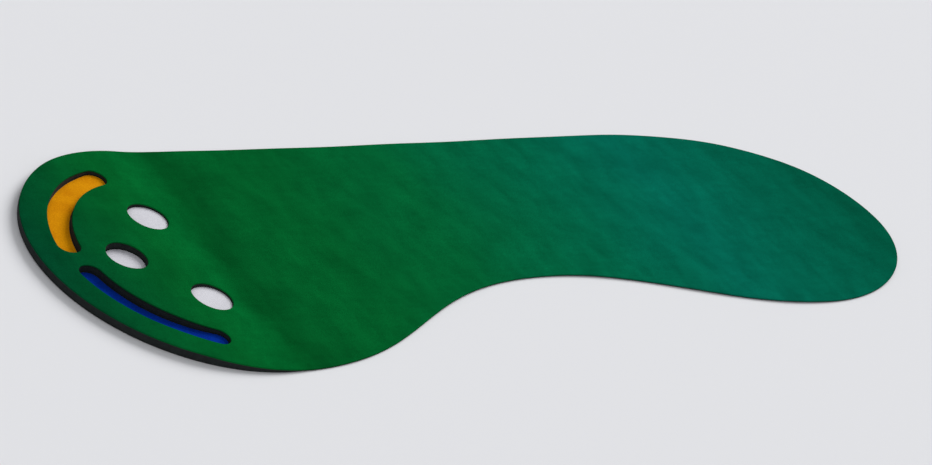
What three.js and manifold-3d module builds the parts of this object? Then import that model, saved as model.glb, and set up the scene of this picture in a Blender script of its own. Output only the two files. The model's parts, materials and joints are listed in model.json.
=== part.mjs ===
// Practice putting mat: a thin turf strip that ends in a raised head with three cups and two hazards.
// The head is a foam wedge between the turf and a non-slip base sheet. The cups and the hazards are cut
// through turf and foam, and white discs and coloured liners lie on the base sheet at their bottoms.
// The turf is one sheet, rubber-backed, and the mat is stored rolled: past the first roll line the sheet is
// cut into narrow strips that turn on each other along their top edges.
// Millimetres, +Z up. The floor is z = 0, +X runs from the head to the tee end, and +Y is the straight side.

import * as THREE from "three";
import { mergeVertices } from "three/addons/utils/BufferGeometryUtils.js";
import Module from "manifold-3d";

const wasm = await Module();
wasm.setup();

// ---------------------------------------------------------------- driving dimensions

// Whole mat
const MAT_LENGTH = 2740;
const MAT_WIDTH = 910;
const TURF_THICKNESS = 5; // pile, its ground cloth and the rubber coat under it
const HEAD_THICKNESS = 25; // floor to the top of the turf at the back of the head
const BASE_THICKNESS = 2;

// Outline: distances from the head's end, and offsets from the centreline
const NECK_FROM_HEAD = 1450; // narrowest place of the curved side
const NECK_OFFSET = -150;
const NECK_EASE = 460; // how far the curve runs straight on at the head and at the neck
const LOBE_FROM_TIP = 450; // widest place of the tee end on the curved side
const LOBE_OFFSET = -332;
const LOBE_EASE = 320;
const TIP_OFFSET = 20;
const SHOULDER_FROM_TIP = 690; // where the straight side starts to round off
const STRAIGHT_SIDE_DIP = 25; // pull of the straight side towards the centreline, at its control point
const ROUND = 0.5523; // Bezier handle of a quarter of an ellipse
const TIP_FULLNESS = 0.6;

// Ramp, measured from the head's end
const RAMP_TOP = 225;
const RAMP_TOE = 515;
const CREASE_HALF = 30; // half length of the soft crease at each end of the ramp

// Cups and hazards, measured from the head's end and from the centreline
const CUP_DIAMETER = 108;
const CUPS = [
  ["far", 404, 170],
  ["middle", 242, 4],
  ["near", 394, -162],
]; // name, distance and offset of its centre
const DISC_THICKNESS = 1;
const HAZARD_FROM_END = 100; // middle of the slots to the head's end
const HAZARD_FROM_SIDE = 105; // middle of the slots to the head's sides
const HAZARD_WIDTH = 62;
const HAZARDS = [
  ["sand", 108, 171],
  ["water", 189.5, 247],
]; // name, and the angles of its two end centres
const LINER_THICKNESS = 1.5;

// Clearances
const GLUE_GAP = 0.3; // between the turf and the foam
const LOOSE_FIT = 1; // round a disc or a liner
const BASE_INSET = 3; // base sheet inside the foam's edge
const FOAM_TOE_THICKNESS = 1;

// Roll lines
const ROLL_LINE_FROM_TOE = 95; // flat turf between the ramp's toe and the first line
const ROLL_STRIPS = 50;
const STRIP_GAP = 0.3;

// Fineness
const OUTLINE_SEGMENTS = 16;
const HOLE_SEGMENTS = 20;
const CREASE_SEGMENTS = 4;
const SPARE = 1; // how far a cut runs past the mat's ends

// ---------------------------------------------------------------- values that follow

const headEnd = -MAT_LENGTH / 2;
const tip = MAT_LENGTH / 2;
const half = MAT_WIDTH / 2;
const alongMat = (fromHead) => headEnd + fromHead;
const rampSlope = (HEAD_THICKNESS - TURF_THICKNESS) / (RAMP_TOE - RAMP_TOP);
const firstLine = alongMat(RAMP_TOE + ROLL_LINE_FROM_TOE);
const rollStep = (tip - firstLine) / ROLL_STRIPS;
const hazardRadius = half - HAZARD_FROM_SIDE;
const hazardCentre = alongMat(HAZARD_FROM_END) + hazardRadius;
const reach = 2 * MAT_LENGTH; // longer than anything that it cuts

// ---------------------------------------------------------------- materials

const material = (color, roughness) => new THREE.MeshStandardMaterial({ color, roughness, metalness: 0 });
const turfGreen = material(0x0b6b2c, 0.95);
const foamBlack = material(0x17191a, 0.9);
const baseGrey = material(0x2b2e30, 0.9);
const discWhite = material(0xe9e9ea, 0.7);
const linerColours = { sand: material(0xe8a80c, 0.8), water: material(0x1033b0, 0.8) };

// ---------------------------------------------------------------- solids and cuts

function solid(geometry) {
  geometry.deleteAttribute("normal");
  geometry.deleteAttribute("uv");
  const merged = mergeVertices(geometry, 1e-3);
  return new wasm.Manifold(
    new wasm.Mesh({
      numProp: 3,
      vertProperties: merged.attributes.position.array,
      triVerts: new Uint32Array(merged.index.array),
    }),
  );
}

function meshOf(name, manifold, look) {
  const made = manifold.getMesh();
  const geometry = new THREE.BufferGeometry();
  geometry.setAttribute("position", new THREE.BufferAttribute(made.vertProperties, 3));
  geometry.setIndex(new THREE.BufferAttribute(made.triVerts, 1));
  geometry.computeVertexNormals();
  const mesh = new THREE.Mesh(geometry, look);
  mesh.name = name;
  return mesh;
}

// A flat shape, raised from one height to another.
function slab(shape, low, high, curveSegments) {
  const depth = high - low;
  const geometry = new THREE.ExtrudeGeometry(shape, { depth, bevelEnabled: false, curveSegments });
  return solid(geometry.translate(0, 0, low));
}

// Everything between two places along the mat.
function slice(from, to) {
  const block = new THREE.BoxGeometry(to - from, reach, reach);
  return solid(block.translate((from + to) / 2, 0, 0));
}

// ---------------------------------------------------------------- outline of the mat, seen from above

function matOutline(inset) {
  const side = half - inset;
  const headCentre = headEnd + half;
  const neck = alongMat(NECK_FROM_HEAD);
  const neckSide = NECK_OFFSET + inset;
  const lobe = tip - LOBE_FROM_TIP;
  const lobeSide = LOBE_OFFSET + inset;
  const shoulder = tip - SHOULDER_FROM_TIP;
  const end = tip - inset;
  const shape = new THREE.Shape();
  shape.moveTo(headCentre, side);
  shape.absarc(headCentre, 0, side, Math.PI / 2, (3 * Math.PI) / 2, false);
  shape.bezierCurveTo(headCentre + NECK_EASE, -side, neck - NECK_EASE, neckSide, neck, neckSide);
  shape.bezierCurveTo(neck + LOBE_EASE, neckSide, lobe - LOBE_EASE, lobeSide, lobe, lobeSide);
  shape.bezierCurveTo(
    lobe + ROUND * (end - lobe),
    lobeSide,
    end,
    TIP_OFFSET - ROUND * (TIP_OFFSET - lobeSide),
    end,
    TIP_OFFSET,
  );
  shape.bezierCurveTo(
    end,
    TIP_OFFSET + TIP_FULLNESS * (side - TIP_OFFSET),
    shoulder + TIP_FULLNESS * (end - shoulder),
    side,
    shoulder,
    side,
  );
  const run = (shoulder - headCentre) / 3;
  shape.bezierCurveTo(shoulder - run, side, headCentre + run, side - STRAIGHT_SIDE_DIP, headCentre, side);
  return shape;
}

// ---------------------------------------------------------------- ramp, seen from the side

// Everything that lies a drop below the turf's top surface, out past the mat on every side.
function underTurfTop(drop) {
  const top = HEAD_THICKNESS - drop;
  const flat = TURF_THICKNESS - drop;
  const rampTop = alongMat(RAMP_TOP);
  const rampToe = alongMat(RAMP_TOE);
  const crease = CREASE_HALF * rampSlope;
  const profile = new THREE.Shape();
  profile.moveTo(headEnd - reach, -reach);
  profile.lineTo(reach, -reach);
  profile.lineTo(reach, flat);
  profile.lineTo(rampToe + CREASE_HALF, flat);
  profile.quadraticCurveTo(rampToe, flat, rampToe - CREASE_HALF, flat + crease);
  profile.lineTo(rampTop + CREASE_HALF, top - crease);
  profile.quadraticCurveTo(rampTop, top, rampTop - CREASE_HALF, top);
  profile.lineTo(headEnd - reach, top);
  const geometry = new THREE.ExtrudeGeometry(profile, {
    depth: reach,
    bevelEnabled: false,
    curveSegments: CREASE_SEGMENTS,
  });
  return solid(geometry.rotateX(Math.PI / 2).translate(0, reach / 2, 0));
}

// ---------------------------------------------------------------- cups and hazards

function cupShape([, fromHead, offset], clearance) {
  const shape = new THREE.Shape();
  shape.absarc(alongMat(fromHead), offset, CUP_DIAMETER / 2 - clearance, 0, 2 * Math.PI, false);
  return shape;
}

// A curved slot with round ends, on an arc round the hazards' common centre.
function hazardShape([, fromDegrees, toDegrees], clearance) {
  const from = THREE.MathUtils.degToRad(fromDegrees);
  const to = THREE.MathUtils.degToRad(toDegrees);
  const r = HAZARD_WIDTH / 2 - clearance;
  const endCentre = (angle) => [
    hazardCentre + hazardRadius * Math.cos(angle),
    hazardRadius * Math.sin(angle),
  ];
  const shape = new THREE.Shape();
  shape.absarc(hazardCentre, 0, hazardRadius + r, from, to, false);
  shape.absarc(...endCentre(to), r, to, to + Math.PI, false);
  shape.absarc(hazardCentre, 0, hazardRadius - r, to, from, true);
  shape.absarc(...endCentre(from), r, from + Math.PI, from + 2 * Math.PI, false);
  return shape;
}

function cutOpenings(body) {
  const cups = CUPS.map((cup) => cupShape(cup, 0));
  const slots = HAZARDS.map((hazard) => hazardShape(hazard, 0));
  const cut = (left, shape) => left.subtract(slab(shape, -reach, reach, HOLE_SEGMENTS));
  return [...cups, ...slots].reduce(cut, body);
}

// ---------------------------------------------------------------- the pieces

// Turf over the head, the ramp and the flat apron in front of it
function turfHead() {
  const layer = underTurfTop(0).subtract(underTurfTop(TURF_THICKNESS));
  const whole = slab(matOutline(0), 0, HEAD_THICKNESS, OUTLINE_SEGMENTS);
  const piece = whole.intersect(layer).intersect(slice(headEnd - SPARE, firstLine - STRIP_GAP / 2));
  return meshOf("turf_head", cutOpenings(piece), turfGreen);
}

// Foam wedge under it, which ends in a thin toe
function foamWedge() {
  const toe = alongMat(RAMP_TOE) - (BASE_THICKNESS + FOAM_TOE_THICKNESS + GLUE_GAP) / rampSlope;
  const above = slab(matOutline(0), BASE_THICKNESS, HEAD_THICKNESS, OUTLINE_SEGMENTS);
  const wedge = above.intersect(underTurfTop(TURF_THICKNESS + GLUE_GAP));
  return meshOf("foam_wedge", cutOpenings(wedge.intersect(slice(headEnd - SPARE, toe))), foamBlack);
}

// Non-slip sheet that closes the cups and the hazards from below
function baseSheet() {
  const end = alongMat(RAMP_TOE) - (BASE_THICKNESS + GLUE_GAP) / rampSlope;
  const piece = slab(matOutline(BASE_INSET), 0, BASE_THICKNESS, OUTLINE_SEGMENTS);
  return meshOf("base_sheet", piece.intersect(slice(headEnd - SPARE, end)), baseGrey);
}

function cupDisc(cup) {
  const top = BASE_THICKNESS + DISC_THICKNESS;
  const piece = slab(cupShape(cup, LOOSE_FIT), BASE_THICKNESS, top, HOLE_SEGMENTS);
  return meshOf(`cup_disc_${cup[0]}`, piece, discWhite);
}

function hazardLiner(hazard) {
  const top = BASE_THICKNESS + LINER_THICKNESS;
  const piece = slab(hazardShape(hazard, LOOSE_FIT), BASE_THICKNESS, top, HOLE_SEGMENTS);
  return meshOf(`${hazard[0]}_liner`, piece, linerColours[hazard[0]]);
}

// One strip of turf between two roll lines; the last one takes in the rounded tee end
function turfStrip(number) {
  const from = firstLine + (number - 1) * rollStep + STRIP_GAP / 2;
  const to = number === ROLL_STRIPS ? tip + SPARE : firstLine + number * rollStep - STRIP_GAP / 2;
  const flat = slab(matOutline(0), 0, TURF_THICKNESS, OUTLINE_SEGMENTS);
  return meshOf(`turf_strip_${String(number).padStart(2, "0")}`, flat.intersect(slice(from, to)), turfGreen);
}

const mat = new THREE.Group();
mat.add(turfHead(), foamWedge(), baseSheet());
mat.add(...CUPS.map(cupDisc), ...HAZARDS.map(hazardLiner));
for (let number = 1; number <= ROLL_STRIPS; number += 1) {
  mat.add(turfStrip(number));
}

export default mat;
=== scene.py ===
"""Practice putting mat, laid out flat on a pale floor.

The CAD nodes give every place and size. Each of them is replaced by a finely meshed piece: the turf over the
head and one stretch of turf for each roll line, the foam wedge, the base sheet, the cup discs and the liners.
Metres, +Z up. +X runs from the head to the tee end, and +Y is the straight side.
"""

import json
import math

import bpy
import numpy as np
from mathutils import Matrix, Vector
from mathutils.geometry import delaunay_2d_cdt


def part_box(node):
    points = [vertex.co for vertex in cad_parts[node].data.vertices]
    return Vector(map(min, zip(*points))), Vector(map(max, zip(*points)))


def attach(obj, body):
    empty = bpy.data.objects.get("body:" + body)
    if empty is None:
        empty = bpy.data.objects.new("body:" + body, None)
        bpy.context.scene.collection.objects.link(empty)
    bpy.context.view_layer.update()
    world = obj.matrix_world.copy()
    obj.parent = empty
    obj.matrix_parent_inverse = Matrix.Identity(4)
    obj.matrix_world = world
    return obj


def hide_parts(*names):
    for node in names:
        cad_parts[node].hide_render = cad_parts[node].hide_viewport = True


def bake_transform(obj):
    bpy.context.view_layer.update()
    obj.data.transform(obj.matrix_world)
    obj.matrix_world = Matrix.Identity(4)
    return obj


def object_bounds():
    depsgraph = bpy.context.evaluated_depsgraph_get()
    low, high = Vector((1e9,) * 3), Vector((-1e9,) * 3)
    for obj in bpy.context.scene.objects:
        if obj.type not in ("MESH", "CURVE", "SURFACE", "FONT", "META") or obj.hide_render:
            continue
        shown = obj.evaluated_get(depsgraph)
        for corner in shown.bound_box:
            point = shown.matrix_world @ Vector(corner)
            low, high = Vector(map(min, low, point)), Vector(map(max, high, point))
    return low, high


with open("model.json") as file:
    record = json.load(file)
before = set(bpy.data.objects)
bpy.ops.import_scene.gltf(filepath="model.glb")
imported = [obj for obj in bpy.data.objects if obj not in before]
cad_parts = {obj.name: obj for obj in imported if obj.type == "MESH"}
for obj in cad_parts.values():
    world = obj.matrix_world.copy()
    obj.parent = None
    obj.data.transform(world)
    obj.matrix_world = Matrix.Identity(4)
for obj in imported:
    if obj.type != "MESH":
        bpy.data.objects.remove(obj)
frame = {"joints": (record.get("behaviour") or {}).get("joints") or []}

# ---------------------------------------------------------------- sizes that the frame gives

cad_low, cad_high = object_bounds()
head_end = cad_low.x
tip = cad_high.x
half = cad_high.y
head_centre = head_end + half
turf_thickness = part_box("turf_strip_01")[1].z
head_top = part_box("turf_head")[1].z
base_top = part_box("base_sheet")[1].z
base_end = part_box("base_sheet")[1].x
foam_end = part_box("foam_wedge")[1].x
roll_lines = [joint["pos_m"][0] for joint in frame["joints"]]
roll_step = roll_lines[1] - roll_lines[0]

# ---------------------------------------------------------------- sizes that repeat the CAD's

# Outline: distances from the head's end or from the tip, and offsets from the centreline
NECK_FROM_HEAD = 1.450
NECK_OFFSET = -0.150
NECK_EASE = 0.460
LOBE_FROM_TIP = 0.450
LOBE_OFFSET = -0.332
LOBE_EASE = 0.320
TIP_OFFSET = 0.020
SHOULDER_FROM_TIP = 0.690
STRAIGHT_SIDE_DIP = 0.025
ROUND = 0.5523
TIP_FULLNESS = 0.6

# Ramp
RAMP_TOP = 0.225
RAMP_TOE = 0.515
CREASE_HALF = 0.030

# Cups and hazards
CUP_RADIUS = 0.054
CUPS = ("far", "middle", "near")
HAZARD_FROM_END = 0.100
HAZARD_FROM_SIDE = 0.105
HAZARD_HALF_WIDTH = 0.031
HAZARDS = {"sand": (108, 171), "water": (189.5, 247)}

# Clearances
GLUE_GAP = 0.0003
LOOSE_FIT = 0.001
BASE_INSET = 0.003

ramp_slope = (head_top - turf_thickness) / (RAMP_TOE - RAMP_TOP)
hazard_radius = half - HAZARD_FROM_SIDE
hazard_centre = head_end + HAZARD_FROM_END + hazard_radius

# ---------------------------------------------------------------- sizes of the looks

PILE_SHARE = 0.6  # of the turf's thickness, the rest is its rubber back
PILE_ROUND = 0.0015  # rounding of the pile at a cut edge
BACK_INSET = 0.0004  # how far the rubber back lies inside the pile
BASE_ROUND = 0.0005
DISC_ROUND = 0.0004
FELT_ROUND = 0.0006
FOAM_BULGE = 0.0012
RIPPLE = 0.0005  # height of each soft wave in the laid turf
RIPPLE_WAVES = ((0.61, 0.35, 0.4), (0.37, -0.80, 2.1), (0.83, 0.10, 4.0))  # length, slant and phase

RIPPLE_FADE_STRIPS = 4  # strips over which the waves grow from nothing

SIDE_STEP = 0.009  # along the outline
SEAM_STEPS = 48  # across the mat
HEAD_GRID = 0.011
HOLE_STEP = 0.004
SHARP = math.radians(50)
CURVE_POINTS = 400  # on each cubic curve of the outline
FOAM_RINGS = 8  # down the foam's side


# ---------------------------------------------------------------- outline of the mat, seen from above

def bezier(*corners):
    """Closely spaced points of a cubic curve."""
    t = np.linspace(0, 1, CURVE_POINTS)[:, None]
    a, b, c, d = (np.array(corner, float) for corner in corners)
    return (1 - t) ** 3 * a + 3 * (1 - t) ** 2 * t * b + 3 * (1 - t) * t**2 * c + t**3 * d


def near_side(x, inset):
    """Offset of the curved side, from the head's round end to the tip."""
    side = half - inset
    neck = (head_end + NECK_FROM_HEAD, NECK_OFFSET + inset)
    lobe = (tip - LOBE_FROM_TIP, LOBE_OFFSET + inset)
    end = tip - inset
    curve = np.vstack([
        bezier((head_centre, -side), (head_centre + NECK_EASE, -side), (neck[0] - NECK_EASE, neck[1]), neck),
        bezier(neck, (neck[0] + LOBE_EASE, neck[1]), (lobe[0] - LOBE_EASE, lobe[1]), lobe),
        bezier(
            lobe,
            (lobe[0] + ROUND * (end - lobe[0]), lobe[1]),
            (end, TIP_OFFSET - ROUND * (TIP_OFFSET - lobe[1])),
            (end, TIP_OFFSET),
        ),
    ])
    return np.interp(x, curve[:, 0], curve[:, 1])


def far_side(x, inset):
    """Offset of the straight side, from the head's round end to the tip."""
    side = half - inset
    shoulder = tip - SHOULDER_FROM_TIP
    end = tip - inset
    run = (shoulder - head_centre) / 3
    curve = np.vstack([
        bezier(
            (head_centre, side),
            (head_centre + run, side - STRAIGHT_SIDE_DIP),
            (shoulder - run, side),
            (shoulder, side),
        ),
        bezier(
            (shoulder, side),
            (shoulder + TIP_FULLNESS * (end - shoulder), side),
            (end, TIP_OFFSET + TIP_FULLNESS * (side - TIP_OFFSET)),
            (end, TIP_OFFSET),
        ),
    ])
    return np.interp(x, curve[:, 0], curve[:, 1])


def arc(centre_x, centre_y, radius, start, end, count):
    """Points of an arc, with neither of its ends."""
    angles = np.linspace(start, end, count + 1)[1:-1]
    return np.stack([centre_x + radius * np.cos(angles), centre_y + radius * np.sin(angles)], 1)


def mat_rim(start=None, end=None):
    """The outline between two places along the mat, as a function of the inset. None is the mat's own end."""
    first = head_centre if start is None else start
    columns = max(4, round(((tip if end is None else end) - first) / SIDE_STEP))
    arc_steps = round(math.pi * half / SIDE_STEP)

    def seam(x, inset, upward):
        y = np.linspace(near_side(x, inset), far_side(x, inset), SEAM_STEPS + 1)[1:-1]
        return np.stack([np.full_like(y, x), y if upward else y[::-1]], 1)

    def loop(inset):
        share = np.linspace(0, 1, columns + 1)
        if end is None:
            share = np.sin(share * math.pi / 2)
        last = tip - inset if end is None else end
        x = first + (last - first) * share
        near = np.stack([x, near_side(x, inset)], 1)
        far = np.stack([x, far_side(x, inset)], 1)[::-1]
        round_end = arc(head_centre, 0, half - inset, math.pi / 2, 3 * math.pi / 2, arc_steps)
        parts = [near]
        parts.append(far[1:] if end is None else np.vstack([seam(last, inset, True), far]))
        parts.append(round_end if start is None else seam(first, inset, False))
        return np.vstack(parts)

    return loop


def circle(x, y, radius):
    """A round outline, as a function of how far it is widened."""
    count = round(2 * math.pi * radius / HOLE_STEP)

    def loop(wider):
        return np.vstack([[x + radius + wider, y], arc(x, y, radius + wider, 0, 2 * math.pi, count)])

    return loop


def slot(name, half_width):
    """A curved slot with round ends, as a function of how far it is widened."""
    start, end = (math.radians(angle) for angle in HAZARDS[name])
    along = round((end - start) * hazard_radius / HOLE_STEP)
    across = round(math.pi * half_width / HOLE_STEP)

    def turn(radius, first, last):
        return arc(hazard_centre, 0, radius, first, last, along)

    def cap(angle, width, first):
        x = hazard_centre + hazard_radius * math.cos(angle)
        y = hazard_radius * math.sin(angle)
        return arc(x, y, width, first, first + math.pi, across)

    def loop(wider):
        width = half_width + wider
        return np.vstack([
            turn(hazard_radius + width, start, end),
            cap(end, width, end),
            turn(hazard_radius - width, end, start),
            cap(start, width, start + math.pi),
        ])

    return loop


def cup_centre(name):
    low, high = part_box(f"cup_disc_{name}")
    return (low.x + high.x) / 2, (low.y + high.y) / 2


def openings():
    """The holes through turf and foam: clockwise, and moved into the material by the inset."""
    loops = [circle(*cup_centre(name), CUP_RADIUS) for name in CUPS]
    loops += [slot(name, HAZARD_HALF_WIDTH) for name in HAZARDS]
    return [lambda inset, loop=loop: loop(inset)[::-1] for loop in loops]


def shrunk(loop):
    """The outline of a piece whose loop is a function of how far it is widened."""
    return lambda inset: loop(-inset)


# ---------------------------------------------------------------- heights

def past(x, place):
    """How far x lies before a place along the mat, from 0, with a soft crease on either side of it."""
    before = place - x
    crease = (before + CREASE_HALF) ** 2 / (4 * CREASE_HALF)
    return np.where(before < -CREASE_HALF, 0, np.where(before > CREASE_HALF, before, crease))


def ripple(x, y):
    """Soft waves that the turf keeps from being rolled up. They fade out at the glued head."""
    waves = sum(
        1 + np.sin(2 * math.pi * (x + slant * y) / length + phase)
        for length, slant, phase in RIPPLE_WAVES
    )
    fade = np.clip((x - head_end - RAMP_TOE - CREASE_HALF) / roll_step / RIPPLE_FADE_STRIPS, 0, 1)
    return RIPPLE * waves * fade**2 * (3 - 2 * fade)


def turf_top(x, y):
    rise = past(x, head_end + RAMP_TOE) - past(x, head_end + RAMP_TOP)
    return turf_thickness + ramp_slope * rise + ripple(x, y)


def turf_bottom(x, y):
    return turf_top(x, y) - turf_thickness


def foam_top(x, y):
    return turf_bottom(x, y) - GLUE_GAP


def level(height):
    return lambda x, y: np.full_like(x, height)


# ---------------------------------------------------------------- meshes

def inside(points, loops):
    """Which points lie within the loops, counting each loop's crossings."""
    crossings = np.zeros(len(points), int)
    for loop in loops:
        for (ax, ay), (bx, by) in zip(loop, np.roll(loop, -1, axis=0)):
            between = (ay > points[:, 1]) != (by > points[:, 1])
            if between.any():
                crossings += between & (points[:, 0] < ax + (points[:, 1] - ay) * (bx - ax) / (by - ay))
    return crossings % 2 == 1


def grid_within(loops, spacing):
    """Points of a staggered grid that lie within the loops and clear of them."""
    corners = np.vstack(loops)
    low, high = corners.min(0), corners.max(0)
    rows = np.arange(low[1] + spacing / 2, high[1], spacing * 0.866)
    grid = [
        (x, y)
        for number, y in enumerate(rows)
        for x in np.arange(low[0] + spacing * (0.5 + 0.5 * (number % 2)), high[0], spacing)
    ]
    grid = np.array(grid)
    grid = grid[inside(grid, loops)]
    nearest = np.full(len(grid), np.inf)
    for corner in corners:
        nearest = np.minimum(nearest, ((grid - corner) ** 2).sum(1))
    return grid[nearest > (0.6 * spacing) ** 2]


def grid_between(start, end):
    """Points in straight columns and rows between two seams."""
    columns = max(4, round((end - start) / SIDE_STEP))
    x = np.linspace(start, end, columns + 1)[1:-1]
    rows = np.linspace(0, 1, SEAM_STEPS + 1)[1:-1]
    near, far = near_side(x, 0), far_side(x, 0)
    return np.array([(x[i], near[i] + (far[i] - near[i]) * row) for i in range(len(x)) for row in rows])


def triangles_of(loops, inner):
    """Triangles over the loops' points and the inner ones, by number, with the loops as borders."""
    points = np.vstack([*loops, inner])
    borders, first = [], 0
    for loop in loops:
        borders += [(first + i, first + (i + 1) % len(loop)) for i in range(len(loop))]
        first += len(loop)
    found = delaunay_2d_cdt([Vector(p) for p in points], borders, [], 0, 1e-9)
    numbers = [origins[0] for origins in found[3]]
    faces = np.array([[numbers[corner] for corner in face] for face in found[2]])
    faces = faces[inside(points[faces].mean(1), loops)]
    a, b, c = (points[faces[:, k]] for k in range(3))
    area = (b[:, 0] - a[:, 0]) * (c[:, 1] - a[:, 1]) - (b[:, 1] - a[:, 1]) * (c[:, 0] - a[:, 0])
    return np.where(area[:, None] > 0, faces, faces[:, ::-1])


def plate(name, outlines, inner, top, bottom, edge, looks):
    """A closed flat piece.

    outlines are functions of the inset, with the material on their left. edge lists the inset and the share
    of the height of each ring down the side. looks lists each material with the lowest share of the height
    that it covers.
    """
    rings = []
    for inset, share in edge:
        flat = np.vstack([outline(inset) for outline in outlines])
        low, high = bottom(*flat.T), top(*flat.T)
        rings.append(np.column_stack([flat, low + (high - low) * share]))
    loops = [outline(edge[0][0]) for outline in outlines]
    upper = np.column_stack([inner, top(*inner.T)])
    lower = np.column_stack([inner, bottom(*inner.T)])
    points = np.vstack([*rings, upper, lower])

    ring_size = len(rings[0])
    rims = ring_size * len(rings)
    rim_points, inner_points = np.arange(ring_size), np.arange(len(inner))
    cover = triangles_of(loops, inner)
    top_number = np.concatenate([rim_points, rims + inner_points])
    bottom_number = np.concatenate([rims - ring_size + rim_points, rims + len(inner) + inner_points])
    faces = [tuple(face) for face in top_number[cover]]
    slots = [0] * len(cover)
    faces += [tuple(face) for face in bottom_number[cover[:, ::-1]]]
    slots += [len(looks) - 1] * len(cover)
    for ring, (_, share) in enumerate(edge[1:]):
        look = next(number for number, (_, lowest) in enumerate(looks) if share >= lowest - 1e-6)
        first = ring * ring_size
        for loop in loops:
            for i in range(len(loop)):
                a, b = first + i, first + (i + 1) % len(loop)
                faces.append((a, a + ring_size, b + ring_size, b))
                slots.append(look)
            first += len(loop)

    mesh = bpy.data.meshes.new(name)
    mesh.from_pydata(points.tolist(), [], [[int(corner) for corner in face] for face in faces])
    for look, _ in looks:
        mesh.materials.append(look)
    mesh.polygons.foreach_set("material_index", slots)
    mesh.polygons.foreach_set("use_smooth", [True] * len(faces))
    mesh.set_sharp_from_angle(angle=SHARP)
    rest = mesh.attributes.new("rest", "FLOAT_VECTOR", "POINT")
    rest.data.foreach_set("vector", points.astype(np.float32).ravel())
    piece = bpy.data.objects.new(name, mesh)
    bpy.context.scene.collection.objects.link(piece)
    return piece


def rounded_edge(radius, thickness, steps=3):
    """The rings of a rounded upper edge, from the top down."""
    angles = [math.pi / 2 * i / steps for i in range(steps + 1)]
    return [(radius * (1 - math.sin(a)), 1 - radius * (1 - math.cos(a)) / thickness) for a in angles]


def area_of(loops):
    """Flat area of the outer loop less the holes, which run the other way."""
    total = 0.0
    for x, y in (loop.T for loop in loops):
        total += float((x * np.roll(y, -1) - y * np.roll(x, -1)).sum() / 2)
    return total


def declare_sheet(outlines):
    loops = [outline(0) for outline in outlines]


# ---------------------------------------------------------------- materials

# The turf's colour along the mat, with painted light and shade in it: painted shade darkens the head's end,
# painted light brightens the ramp (0.13 to 0.165), painted shade darkens the ramp's foot (0.19), and the
# bluer green toward the tee end is partly the nap and partly painted light. Each row is the share of the
# length from the head's end, and sRGB from 0 to 255
TURF_COLOURS_AND_PAINTED_LIGHT = [
    (0.00, (3, 70, 42)),
    (0.07, (4, 84, 40)),
    (0.13, (5, 95, 40)),
    (0.165, (4, 101, 44)),
    (0.19, (3, 82, 34)),
    (0.215, (4, 86, 37)),
    (0.26, (4, 95, 42)),
    (0.31, (4, 93, 42)),
    (0.45, (4, 97, 51)),
    (0.62, (4, 101, 71)),
    (0.75, (5, 103, 84)),
    (0.88, (4, 98, 76)),
    (1.00, (3, 87, 64)),
]
SKEW_SHARE = 0.012  # how far the ramp's shading leans, as a share of the mat's length


class Look:
    """A material with one Principled shader, and short ways to add procedural nodes to it."""

    def __init__(self, name, **values):
        self.material = bpy.data.materials.new(name)
        self.material.use_nodes = True
        self.tree = self.material.node_tree
        self.shader = self.tree.nodes["Principled BSDF"]
        for socket, value in values.items():
            self.shader.inputs[socket.replace("_", " ")].default_value = value
        attribute = self.tree.nodes.new("ShaderNodeAttribute")
        attribute.attribute_name = "rest"
        self.rest = attribute.outputs["Vector"]

    def link(self, start, end):
        self.tree.links.new(start, end)

    def noise(self, scale, detail=2.0, roughness=0.5, stretch=(1, 1, 1)):
        mapping = self.tree.nodes.new("ShaderNodeMapping")
        mapping.inputs["Scale"].default_value = stretch
        self.link(self.rest, mapping.inputs["Vector"])
        node = self.tree.nodes.new("ShaderNodeTexNoise")
        node.inputs["Scale"].default_value = scale
        node.inputs["Detail"].default_value = detail
        node.inputs["Roughness"].default_value = roughness
        self.link(mapping.outputs["Vector"], node.inputs["Vector"])
        return node.outputs["Fac"]

    def cells(self, scale, stretch=(1, 1, 1)):
        mapping = self.tree.nodes.new("ShaderNodeMapping")
        mapping.inputs["Scale"].default_value = stretch
        self.link(self.rest, mapping.inputs["Vector"])
        node = self.tree.nodes.new("ShaderNodeTexVoronoi")
        node.inputs["Scale"].default_value = scale
        self.link(mapping.outputs["Vector"], node.inputs["Vector"])
        return node.outputs["Distance"]

    def along(self, axis, start, end):
        """From 0 to 1 between two places on an axis."""
        split = self.tree.nodes.new("ShaderNodeSeparateXYZ")
        self.link(self.rest, split.inputs["Vector"])
        return self.range(split.outputs[axis], start, end, 0, 1)

    def range(self, value, low, high, to_low, to_high):
        node = self.tree.nodes.new("ShaderNodeMapRange")
        for socket, number in zip(("From Min", "From Max", "To Min", "To Max"), (low, high, to_low, to_high)):
            node.inputs[socket].default_value = number
        self.link(value, node.inputs["Value"])
        return node.outputs["Result"]

    def math(self, operation, a, b):
        node = self.tree.nodes.new("ShaderNodeMath")
        node.operation = operation
        for socket, value in zip(node.inputs, (a, b)):
            if isinstance(value, (int, float)):
                socket.default_value = value
            else:
                self.link(value, socket)
        return node.outputs["Value"]

    def colours(self, value, stops):
        """A colour ramp. stops lists each place with its sRGB colour, from 0 to 255."""
        node = self.tree.nodes.new("ShaderNodeValToRGB")
        elements = node.color_ramp.elements
        while len(elements) < len(stops):
            elements.new(0.5)
        for element, (place, colour) in zip(elements, stops):
            element.position = place
            element.color = linear(colour)
        self.link(value, node.inputs["Fac"])
        return node.outputs["Color"]

    def shaded(self, colour, value):
        """The colour times a value."""
        node = self.tree.nodes.new("ShaderNodeVectorMath")
        node.operation = "SCALE"
        self.link(colour, node.inputs[0])
        self.link(value, node.inputs["Scale"])
        return node.outputs["Vector"]

    def paint(self, colour):
        self.link(colour, self.shader.inputs["Base Color"])
        return self

    def bump(self, height, distance, strength=1.0):
        node = self.tree.nodes.new("ShaderNodeBump")
        node.inputs["Strength"].default_value = strength
        node.inputs["Distance"].default_value = distance
        self.link(height, node.inputs["Height"])
        self.link(node.outputs["Normal"], self.shader.inputs["Normal"])
        return self


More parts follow.
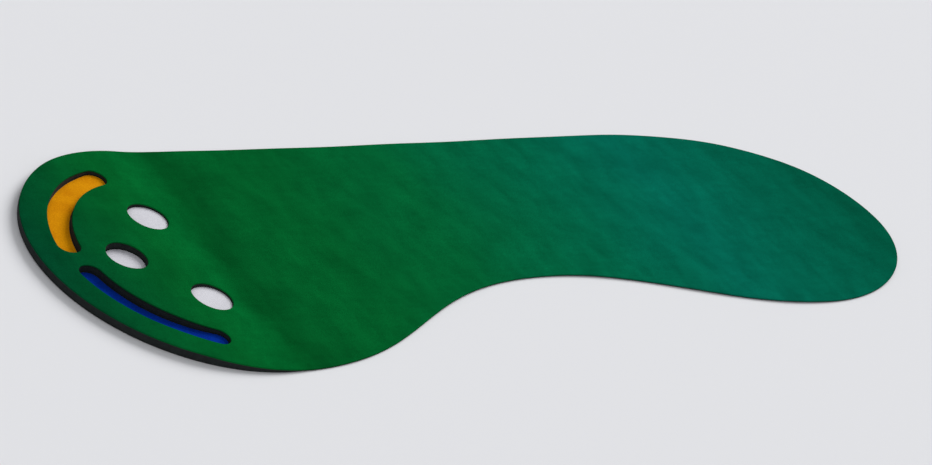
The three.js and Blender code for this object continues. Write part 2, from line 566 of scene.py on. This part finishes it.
def linear(colour):
    """A colour from 0 to 255 in sRGB, as Blender's own linear one."""
    shares = [c / 255 for c in colour]
    return [s / 12.92 if s <= 0.04045 else ((s + 0.055) / 1.055) ** 2.4 for s in shares] + [1.0]


def turf_pile():
    """Short green pile. Its colour along the mat holds painted light and shade: painted light makes it
    brighter on the ramp, painted shade makes it darker at the ramp's foot and the head's end, and it is
    cooler at the tee end, partly from the nap and partly from painted light.
    """
    look = Look("turf_pile", Roughness=1.0, Specular_IOR_Level=0.0, Sheen_Weight=0.03, Sheen_Roughness=0.5)
    look.shader.inputs["Sheen Tint"].default_value = linear((60, 200, 100))
    drift = look.range(look.noise(3.2, 3, 0.55), 0.3, 0.7, -0.012, 0.012)
    skew = look.range(look.along("Y", -half, half), 0, 1, SKEW_SHARE, -SKEW_SHARE)
    place = look.math("ADD", look.math("ADD", look.along("X", head_end, tip), skew), drift)
    # the green along the mat carries painted light on the ramp and painted shade at the head's end and the
    # ramp's foot
    green_and_painted_light = look.colours(place, TURF_COLOURS_AND_PAINTED_LIGHT)
    patches = look.range(look.noise(10, 4, 0.6, (1.5, 0.8, 1)), 0.3, 0.7, 0.82, 1.16)
    streaks = look.range(look.noise(16, 3, 0.6, (0.6, 4, 1)), 0.3, 0.7, 0.95, 1.05)
    tufts = look.noise(420, 2, 0.7)
    grain = look.range(tufts, 0.3, 0.7, 0.8, 1.2)
    shade = look.math("MULTIPLY", look.math("MULTIPLY", patches, streaks), grain)
    look.paint(look.shaded(green_and_painted_light, shade))
    look.bump(tufts, 0.0016, 0.8)
    return look.material


def speckled(name, dark, light, scale, depth, **values):
    """A plain material with a fine grain between two colours."""
    look = Look(name, **values)
    grain = look.noise(scale, 3, 0.65)
    broad = look.noise(scale / 25, 2, 0.5)
    mixed = look.math("ADD", look.math("MULTIPLY", grain, 0.65), look.math("MULTIPLY", broad, 0.35))
    look.paint(look.colours(mixed, [(0.35, dark), (0.65, light)]))
    look.bump(grain, depth)
    return look.material


def cut_foam():
    """Dark closed-cell foam with the fine pores of a cut face."""
    look = Look("cut_foam", Roughness=0.9, Specular_IOR_Level=0.2)
    pores = look.cells(650)
    clouds = look.noise(60, 3, 0.6)
    tone = look.math("ADD", look.math("MULTIPLY", pores, 0.5), look.math("MULTIPLY", clouds, 0.5))
    look.paint(look.colours(tone, [(0.25, (14, 17, 17)), (0.6, (38, 42, 42))]))
    look.bump(pores, 0.0008, 0.7)
    return look.material


pile = turf_pile()
foam_look = cut_foam()
back_look = speckled(
    "rubber_back", (24, 27, 26), (46, 50, 48), 500, 0.0004, Roughness=0.85, Specular_IOR_Level=0.25
)
base_look = speckled(
    "base_rubber", (28, 31, 33), (52, 56, 58), 300, 0.0006, Roughness=0.8, Specular_IOR_Level=0.3
)
disc_look = speckled("disc_plastic", (196, 194, 202), (212, 211, 218), 220, 0.0001, Roughness=0.5)
sand_look = speckled(
    "sand_felt", (204, 124, 2), (236, 160, 10), 380, 0.0010, Roughness=1.0, Specular_IOR_Level=0.02
)
water_look = speckled(
    "water_felt", (1, 34, 120), (5, 56, 168), 380, 0.0010, Roughness=1.0, Specular_IOR_Level=0.02
)

# ---------------------------------------------------------------- the pieces

turf_edge = rounded_edge(PILE_ROUND, turf_thickness)
turf_edge += [(0, 1 - PILE_SHARE), (BACK_INSET, 0.98 - PILE_SHARE), (BACK_INSET, 0.08), (2 * BACK_INSET, 0)]
turf_looks = [(pile, 1 - PILE_SHARE), (back_look, 0)]


def seam_before(number):
    """The middle of the strip before a roll line, where two pieces of turf meet."""
    return roll_lines[number - 1] - roll_step / 2


def strip_body(number):
    return f"strip_{number:02d}" if number else "head"


def make_head_turf():
    outlines = [mat_rim(None, seam_before(1)), *openings()]
    inner = grid_within([outline(PILE_ROUND) for outline in outlines], HEAD_GRID)
    piece = plate("turf_over_head", outlines, inner, turf_top, turf_bottom, turf_edge, turf_looks)
    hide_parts("turf_head")
    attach(piece, "head")
    declare_sheet(outlines)


def make_rolling_turf(number):
    """The turf between the middles of two strips, over the roll line between them."""
    start, end = seam_before(number), seam_before(number) + roll_step
    outlines = [mat_rim(start, end)]
    inner = grid_between(start, end)
    name = f"turf_roll_{number:02d}"
    piece = plate(name, outlines, inner, turf_top, turf_bottom, turf_edge, turf_looks)
    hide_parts(f"turf_strip_{number:02d}")
    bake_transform(piece)
    declare_sheet(outlines)


def make_tee_end():
    """The last half strip, with the mat's rounded tip."""
    start = seam_before(len(roll_lines)) + roll_step
    outlines = [mat_rim(start, None)]
    inner = grid_within([outlines[0](PILE_ROUND)], HEAD_GRID)
    piece = plate("turf_tee_end", outlines, inner, turf_top, turf_bottom, turf_edge, turf_looks)
    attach(piece, strip_body(len(roll_lines)))
    declare_sheet(outlines)


def make_foam():
    outlines = [mat_rim(None, foam_end), *openings()]
    inner = grid_within([outline(0) for outline in outlines], 2 * HEAD_GRID)
    shares = np.linspace(1, 0, FOAM_RINGS)
    edge = [(FOAM_BULGE * (1 - math.sin(math.pi * share)), share) for share in shares]
    piece = plate("foam_core", outlines, inner, foam_top, level(base_top), edge, [(foam_look, 0)])
    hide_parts("foam_wedge")
    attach(piece, "head")


def flat_piece(name, node, outline, spacing, rounding, look):
    """A thin flat piece on the head that replaces a CAD node of the same place and height."""
    low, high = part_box(node)
    thickness = high.z - low.z
    edge = rounded_edge(rounding, thickness) + [(0, 0)]
    inner = grid_within([outline(rounding)], spacing)
    piece = plate(name, [outline], inner, level(high.z), level(low.z), edge, [(look, 0)])
    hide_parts(node)
    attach(piece, "head")
    return piece


def make_base():
    rim = mat_rim(None, base_end)

    def outline(inset):
        return rim(BASE_INSET + inset)

    piece = flat_piece("base_mat", "base_sheet", outline, 2 * HEAD_GRID, BASE_ROUND, base_look)
    declare_sheet([outline])


def make_discs():
    for name in CUPS:
        outline = shrunk(circle(*cup_centre(name), CUP_RADIUS - LOOSE_FIT))
        flat_piece(f"disc_{name}", f"cup_disc_{name}", outline, HEAD_GRID, DISC_ROUND, disc_look)


def make_liners():
    """Curved bands of felt."""
    half_width = HAZARD_HALF_WIDTH - LOOSE_FIT
    for name, look in (("sand", sand_look), ("water", water_look)):
        outline = shrunk(slot(name, half_width))
        liner = f"{name}_liner"
        piece = flat_piece(f"felt_{name}", liner, outline, HEAD_GRID, FELT_ROUND, look)
        area_of([outline(0)])


make_foam()
make_base()
make_discs()
make_liners()
make_head_turf()
for number in range(1, len(roll_lines) + 1):
    make_rolling_turf(number)
make_tee_end()

# ---------------------------------------------------------------- camera, light and floor

AZIMUTH, ELEVATION, ROLL = (math.radians(angle) for angle in (-45.25, 27.97, 22.35))
CAMERA_DISTANCE = 10.88
FROM_HEAD_END = 1.3225  # where the camera looks, along the mat
ASIDE = 0.055
LENS_MM = 165.1
FLOOR_HALF = 60
FLOOR_GAP = 0.0005  # below the mat, so that the two faces don't meet


def make_camera():
    """The camera looks down along the mat from the head's side and is turned about its own axis."""
    back = Vector((
        math.sin(AZIMUTH) * math.cos(ELEVATION),
        -math.cos(AZIMUTH) * math.cos(ELEVATION),
        math.sin(ELEVATION),
    ))
    right = Vector((math.cos(AZIMUTH), math.sin(AZIMUTH), 0))
    up = back.cross(right)
    turned_right = right * math.cos(ROLL) + up * math.sin(ROLL)
    turned_up = up * math.cos(ROLL) - right * math.sin(ROLL)
    place = Vector((head_end + FROM_HEAD_END, ASIDE, 0)) + back * CAMERA_DISTANCE
    camera = bpy.data.objects.new("camera", bpy.data.cameras.new("camera"))
    camera.data.lens = LENS_MM
    camera.data.clip_end = 100
    turn = Matrix((turned_right, turned_up, back)).transposed().to_4x4()
    camera.matrix_world = Matrix.Translation(place) @ turn
    bpy.context.scene.collection.objects.link(camera)
    bpy.context.scene.camera = camera


def add_sun(name, direction, strength, spread):
    """Even light from a direction, with soft shadows."""
    lamp = bpy.data.lights.new(name, "SUN")
    lamp.energy = strength
    lamp.angle = math.radians(spread)
    sun = bpy.data.objects.new(name, lamp)
    sun.rotation_euler = (-Vector(direction)).to_track_quat("-Z", "Y").to_euler()
    bpy.context.scene.collection.objects.link(sun)


def add_floor():
    side = FLOOR_HALF
    mesh = bpy.data.meshes.new("floor")
    corners = [(-side, -side, 0), (side, -side, 0), (side, side, 0), (-side, side, 0)]
    mesh.from_pydata(corners, [], [(0, 1, 2, 3)])
    paint = bpy.data.materials.new("floor")
    paint.use_nodes = True
    shader = paint.node_tree.nodes["Principled BSDF"]
    shader.inputs["Base Color"].default_value = (0.80, 0.80, 0.82, 1)
    shader.inputs["Roughness"].default_value = 0.9
    mesh.materials.append(paint)
    floor = bpy.data.objects.new("floor", mesh)
    floor.location.z = -FLOOR_GAP
    bpy.context.scene.collection.objects.link(floor)


def light_scene():
    world = bpy.data.worlds.new("studio")
    world.use_nodes = True
    background = world.node_tree.nodes["Background"]
    background.inputs["Color"].default_value = (0.95, 0.97, 1, 1)
    background.inputs["Strength"].default_value = 0.38
    bpy.context.scene.world = world
    add_sun("key", (1.0, 0.42, 0.68), 2.6, 35)
    add_sun("fill", (-0.5, -0.7, 0.9), 0.5, 60)


make_camera()
add_floor()
light_scene()
bpy.context.scene.view_settings.view_transform = "Standard"
